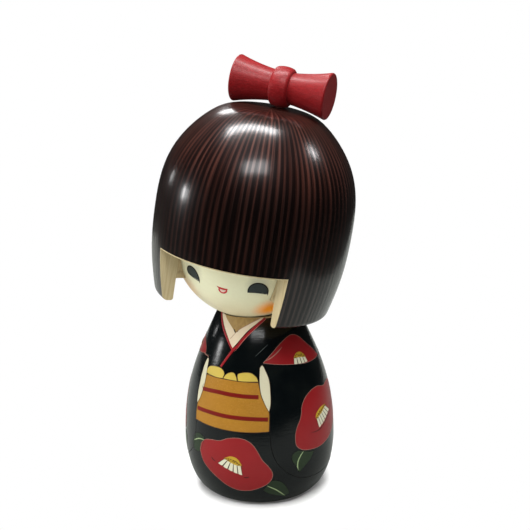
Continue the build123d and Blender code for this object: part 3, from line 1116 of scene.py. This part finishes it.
# engraved lines of the kimono
engraving = {
    "sleeves": [
        [
            (34, 36), (34.5, 29.5), (34.5, 24.6), (37, 19.9), (42.5, 15.7), (50.5, 12.5), (62.5, 9.8),
            (90, 8.8), (115, 11), (130, 19), (135, 32), (131, 47.5),
        ],
        [
            (-32.5, 34.5), (-31.5, 28.8), (-31.5, 24.8), (-33, 20.3), (-37.5, 17.4), (-49, 13.6),
            (-64, 10.4), (-90, 8.8), (-115, 11), (-130, 19), (-135, 32), (-131, 47.5),
        ],
    ],
    "arms": [
        [(29.5, 51), (44.5, 50.5), (57, 49.8), (77.5, 48.6), (92.5, 48.1), (110, 47.6), (131, 47.5)],
        [(-29.5, 51), (-43, 50.6), (-58.5, 49.3), (-77, 48.6), (-92.5, 48.1), (-110, 47.6), (-131, 47.5)],
    ],
    "chest": [[(37.5, 56.8), (32.5, 55.7), (27.5, 54.5), (23, 53.3)]],
    "backSeam": [[(180, 61), (180, 51)]],
}


def makeEngraving():
    brushLines("sleeveLines", engraving["sleeves"], "engravedDark", width=0.34, rise=0.06)
    brushLines("armLines", engraving["arms"], "engravedDark", width=0.3, rise=0.06)
    brushLines("chestLine", engraving["chest"], "engravedPale", width=0.2, rise=0.04, tapered=0.8)
    brushLines("backSeam", engraving["backSeam"], "engravedDark", width=0.3, rise=0.05)


# the back: the obi runs round behind the sleeves to a drum bow, and the collar closes the neck
back = {
    "obi": [
        (135, 45.3), (135, 45.3), (158, 45.4), (180, 45.5), (202, 45.4), (225, 45.3), (225, 45.3),
        (226, 37), (225, 29), (225, 29), (202, 28.8), (180, 28.8), (158, 28.8), (135, 29), (135, 29),
        (134, 37),
    ],
    "stripes": [[(136, 40.6), (150, 40.7)], [(210, 40.7), (224, 40.6)],
                [(136, 33.5), (150, 33.6)], [(210, 33.6), (224, 33.5)]],
    "drum": [
        (153, 47), (158, 49), (180, 49.6), (202, 49), (207, 47), (209, 36), (206, 26.5), (202, 24.6),
        (180, 24.2), (158, 24.6), (154, 26.5), (151, 36),
    ],
    "drumStripes": [[(151.5, 40.5), (166, 40.9), (180, 41), (194, 40.9), (208.5, 40.5)],
                    [(151.5, 33.6), (166, 33.4), (180, 33.4), (194, 33.4), (208.5, 33.6)]],
    "tail": [
        (166, 24.4), (166, 24.4), (180, 24.2), (194, 24.4), (194, 24.4), (195, 19), (195, 19), (180, 18.4),
        (165, 19), (165, 19),
    ],
    "scarf": [
        [
            (156, 49.2), (156, 49.2), (157, 50.6), (163, 51.6), (170, 51.4), (173, 50), (172.5, 49.7),
            (172.5, 49.7), (164, 49.5),
        ],
        [
            (173.5, 49.8), (173.5, 49.8), (175, 51.2), (180, 51.9), (185, 51.2), (186.5, 49.8),
            (186.5, 49.8), (180, 49.9),
        ],
        [
            (187.5, 49.7), (187.5, 49.7), (187, 50), (190, 51.4), (197, 51.6), (203, 50.6), (204, 49.2),
            (204, 49.2), (196, 49.5),
        ],
    ],
    "collar": [
        (100, 64.9), (100, 64.9), (180, 64.9), (260, 64.9), (260, 64.9), (235, 63.4), (208, 62.4),
        (180, 62.1), (152, 62.4), (125, 63.4),
    ],
    "collarEdge": [(98, 64.9), (124, 63), (152, 62), (180, 61.7), (208, 62), (236, 63), (262, 64.9)],
}


def makeBack():
    paintSkins("backObi", [back["obi"]], "goldObi", rise=0.05)
    brushLines("backObiStripes", back["stripes"], "stripeRed", width=obi["stripeWidth"], rise=0.05, lift=0.05)
    paintSkins("drumTail", [back["tail"]], "goldObi", rise=0.07)
    brushLines("drumTailOutline", closedLines([back["tail"]]), "brownLine", width=0.28, rise=0.05, lift=0.05)
    paintSkins("drumBow", [back["drum"]], "goldObi", rise=0.12)
    brushLines("drumBowOutline", closedLines([back["drum"]]), "brownLine", width=0.32, rise=0.06, lift=0.1)
    brushLines("drumBowStripes", back["drumStripes"], "stripeRed",
               width=obi["stripeWidth"], rise=0.05, lift=0.12)
    paintSkins("backScarf", back["scarf"], "scarfYellow", rise=0.13, grid=1.0)
    brushLines("backScarfOutline", closedLines(back["scarf"]), "brownLine", width=0.22, rise=0.05, lift=0.1)
    paintSkins("backCollar", [back["collar"]], "collarCream", rise=0.07)
    brushLines("backCollarEdge", [back["collarEdge"]], "collarRed", width=0.7, rise=0.08, lift=0.04)


# face: two lowered eyes and a small mouth
face = {
    "eyes": [
        [
            (-33.6, -23.2), (-33.6, -23.2), (-33.8, -20), (-32, -17.2), (-28.6, -16), (-25.3, -16.7),
            (-23.1, -18.6), (-21.4, -21.3), (-20.7, -24.3), (-20.9, -26.2), (-20.9, -26.2), (-23.6, -25),
            (-28, -24.6),
        ],
        [
            (22.2, -25.2), (22.2, -25.2), (22.2, -22.9), (23.2, -19.6), (25.4, -17.2), (28.2, -16.1),
            (31.8, -16.4), (35, -18.3), (37.2, -21.2), (38.2, -24.9), (38.2, -24.9), (33.6, -24.4),
            (28.8, -24.4), (25, -24.6),
        ],
    ],
    "lids": [
        [
            (-33, -23.8), (-33.8, -22.4), (-33.8, -19.8), (-31.8, -17), (-28.6, -15.8), (-25.1, -16.5),
            (-22.9, -18.4), (-21.2, -21.2), (-20.5, -24.3), (-21, -28),
        ],
        [
            (22.2, -25.8), (22, -22.8), (23, -19.4), (25.2, -17), (28.2, -15.9), (32, -16.2), (35.2, -18.1),
            (37.5, -21.2), (38.8, -26.4),
        ],
    ],
    "lashes": [
        [(-33.2, -23.6), (-28, -24.8), (-21, -26.4)],
        [(22.2, -25.3), (28.8, -24.6), (38.4, -25.2)],
    ],
    "mouth": [(-3.6, -24.9), (-1.8, -25.9), (0.4, -26.2), (3.2, -26.3), (6, -25.6)],
    "lowerLip": [(-1.7, -26.2), (-1.5, -28.4), (0.1, -30.1), (2.6, -30.1), (4.4, -28.5), (5.1, -26.2)],
}


def makeFace():
    paintSkins("eyes", face["eyes"], "eyeSlate", rise=0.05, grid=1.0, surface=faceSkin)
    brushLines("eyeLids", face["lids"], "eyeBlack",
               width=0.5, rise=0.06, lift=0.03, tapered=0.35, surface=faceSkin)
    brushLines("eyeLashes", face["lashes"], "eyeBlack",
               width=0.22, rise=0.04, lift=0.03, tapered=0.3, surface=faceSkin)
    lip = [face["lowerLip"][0]] + face["lowerLip"] + [face["lowerLip"][-1]]
    paintSkins("lipFill", [lip], "lipPink", rise=0.04, grid=0.7, surface=faceSkin)
    brushLines("mouth", [face["mouth"]], "mouthRed",
               width=0.72, rise=0.08, lift=0.03, tapered=0.6, surface=faceSkin)
    brushLines("lowerLip", [face["lowerLip"]], "mouthRed",
               width=0.6, rise=0.07, lift=0.03, tapered=0.3, surface=faceSkin)


# the turned wood itself
def finishWood():
    finishes = {
        "kimono_body": makeKimonoFinish(),
        "hair_cap": makeHairFinish(),
        "face_ball": makeFaceFinish(),
        "hair_bow": makeBowFinish(),
        "face_seat_ring": makeBareFinish("ringWood", headFrame, (0.50, 0.40, 0.23), (0.34, 0.25, 0.12), 0.4),
        "neck_dowel": makeBareFinish("dowelWood", headFrame, bareFinish["pale"], bareFinish["dark"]),
        # the peg under the knot is given a dark red-brown colour
        "bow_peg": makeBareFinish("darkPeg", bowFrame, (0.09, 0.02, 0.016), (0.05, 0.012, 0.009), 0.4),
    }
    for node, material in finishes.items():
        nodes[node].material_slots[0].material = material


finishWood()
print("turned wood finished")
makeObi()
makeCollar()
makeEngraving()
print("kimono front painted")
makeCamellia("hemFlower", camellias["hem"])
for side, name, shoulder in ((1, "left", "shoulder"), (-1, "right", "otherShoulder")):
    makeCamellia(name + "SleeveFlower", camellias["sleeve"], side)
    makeCamellia(name + "ShoulderFlower", camellias[shoulder], side)
makeBack()
makeFace()
print("flowers, back and face painted")


# floor, light and camera
stage = {
    "floor": (0.92, 0.92, 0.91),
    "floorBounce": (0.42, 0.43, 0.405),   # what its light on the doll looks like
    "floorMirrored": (0.22, 0.23, 0.215),
    "table": {"front": 0.13, "back": 0.32, "left": 0.32, "right": 0.15, "corner": 0.02, "drop": 0.05 * mm},
    "cornerSteps": 6,
    "whiteFrom": 0.021,       # the shadow fades out between these distances from the doll's axis
    "whiteTo": 0.046,
    "sky": (1.0, 0.99, 0.97),
    "skyStrength": 0.03,
    "target": (0.00246, 0.00123, 0.0791),
    "camera": (0.2008, -0.4027, 0.2241),
    "roll": -0.906,
    "lens": 95.4,
    "lampAim": (0, 0, 0.11),
    # azimuth from the camera, elevation, distance, width, height, turn, brightness, shows in reflections
    "lamps": {
        "ceilingStrip": (-153, 82, 0.9, 0.76, 0.17, -38, 30.0, True),
        "leftWindow": (-90, 7, 0.48, 0.070, 0.056, 0, 23.0, True),
        "leftPane": (-121, 6, 0.52, 0.03, 0.05, 0, 12.0, True),
        "backWindow": (-166, 33, 0.9, 0.20, 0.15, 0, 16.0, True),
        "rightWindow": (99, 35.5, 0.9, 0.10, 0.13, 0, 25.0, True),
        "frontPanel": (-2, 51, 1.0, 0.46, 0.24, 0, 10.5, True),
        "topFill": (0, 80, 1.1, 1.2, 1.2, 0, 4.6, False),
        "leftFill": (-82, 18, 1.0, 0.7, 0.7, 0, 4.3, False),
        "frontFill": (8, 14, 1.2, 1.1, 1.0, 0, 1.6, False),
    },
}
cameraAzimuth = degrees(atan2(stage["camera"][0], -stage["camera"][1]))


def makeFloor():
    # a pale table set square to the camera; away from the doll's foot the camera sees it as plain white
    size = stage["table"]
    turn = Matrix.Rotation(radians(cameraAzimuth), 4, "Z")
    corners = [
        (size["right"], -size["front"], -90), (size["right"], size["back"], 0),
        (-size["left"], size["back"], 90), (-size["left"], -size["front"], 180)]
    form = bmesh.new()
    rim = []
    for x, y, start in corners:
        centre = Vector((x - copysign(size["corner"], x), y - copysign(size["corner"], y), -size["drop"]))
        for k in range(stage["cornerSteps"] + 1):
            angle = radians(start + 90 / stage["cornerSteps"] * k)
            rim.append(form.verts.new(turn @ (centre + size["corner"] * Vector((cos(angle), sin(angle), 0)))))
    form.faces.new(rim)
    mesh = bpy.data.meshes.new("floor")
    form.to_mesh(mesh)
    form.free()
    material, tree, shader = startMaterial("paleFloor", Roughness=0.8)
    where = addNode(tree, "ShaderNodeTexCoord")
    away = vectorMaths(tree, "LENGTH", where.outputs["Object"])
    rays = addNode(tree, "ShaderNodeLightPath")
    mirroredRay = rays.outputs["Is Glossy Ray"]
    seen = blendColours(tree, mirroredRay, rgba(stage["floorBounce"]), rgba(stage["floorMirrored"]))
    seen = blendColours(tree, rays.outputs["Is Camera Ray"], seen, rgba(stage["floor"]))
    drive(tree, shader, Base_Color=seen)
    white = addNode(tree, "ShaderNodeEmission")
    blend = addNode(tree, "ShaderNodeMixShader")
    fade = between(tree, away, stage["whiteFrom"], stage["whiteTo"])
    plug(tree, blend.inputs[0], times(tree, fade, rays.outputs["Is Camera Ray"]))
    tree.links.new(shader.outputs[0], blend.inputs[1])
    tree.links.new(white.outputs[0], blend.inputs[2])
    tree.links.new(blend.outputs[0], tree.nodes["Material Output"].inputs["Surface"])
    mesh.materials.append(material)
    floor = bpy.data.objects.new("floor", mesh)
    bpy.context.scene.collection.objects.link(floor)


def makeSky():
    world = bpy.data.worlds.new("softRoom")
    bpy.context.scene.world = world
    world.use_nodes = True
    tree = world.node_tree
    room = tree.nodes["Background"]
    room.inputs["Color"].default_value = rgba(stage["sky"])
    room.inputs["Strength"].default_value = stage["skyStrength"]
    white = addNode(tree, "ShaderNodeBackground")
    white.inputs["Color"].default_value = (1, 1, 1, 1)
    rays = addNode(tree, "ShaderNodeLightPath")
    pick = addNode(tree, "ShaderNodeMixShader")
    tree.links.new(rays.outputs["Is Camera Ray"], pick.inputs[0])
    tree.links.new(room.outputs[0], pick.inputs[1])
    tree.links.new(white.outputs[0], pick.inputs[2])
    tree.links.new(pick.outputs[0], tree.nodes["World Output"].inputs["Surface"])


def makeLamps():
    aim = Vector(stage["lampAim"])
    for name, lampLook in stage["lamps"].items():
        azimuth, elevation, distance, width, height, turn, brightness, mirrored = lampLook
        place = aim + distance * towards(cameraAzimuth + azimuth, elevation)
        light = bpy.data.lights.new(name, "AREA")
        light.shape = "RECTANGLE"
        light.size, light.size_y = width, height
        light.energy = brightness * pi * width * height
        lamp = bpy.data.objects.new(name, light)
        lamp.location = place
        facing = (aim - place).to_track_quat("-Z", "Y").to_matrix()
        lamp.rotation_euler = (facing @ Matrix.Rotation(radians(turn), 3, "Z")).to_euler()
        lamp.visible_glossy = mirrored
        bpy.context.scene.collection.objects.link(lamp)


def makeCamera():
    scene = bpy.context.scene
    data = bpy.data.cameras.new("camera")
    data.lens = stage["lens"]
    data.sensor_width = 36
    data.clip_start = 0.01
    camera = bpy.data.objects.new("camera", data)
    camera.location = stage["camera"]
    look = (Vector(stage["target"]) - camera.location).to_track_quat("-Z", "Y").to_matrix()
    camera.rotation_euler = (look @ Matrix.Rotation(radians(stage["roll"]), 3, "Z")).to_euler()
    scene.collection.objects.link(camera)
    scene.camera = camera
    scene.view_settings.view_transform = "Standard"


makeFloor()
makeSky()
makeLamps()
makeCamera()
print("stage, light and camera set")
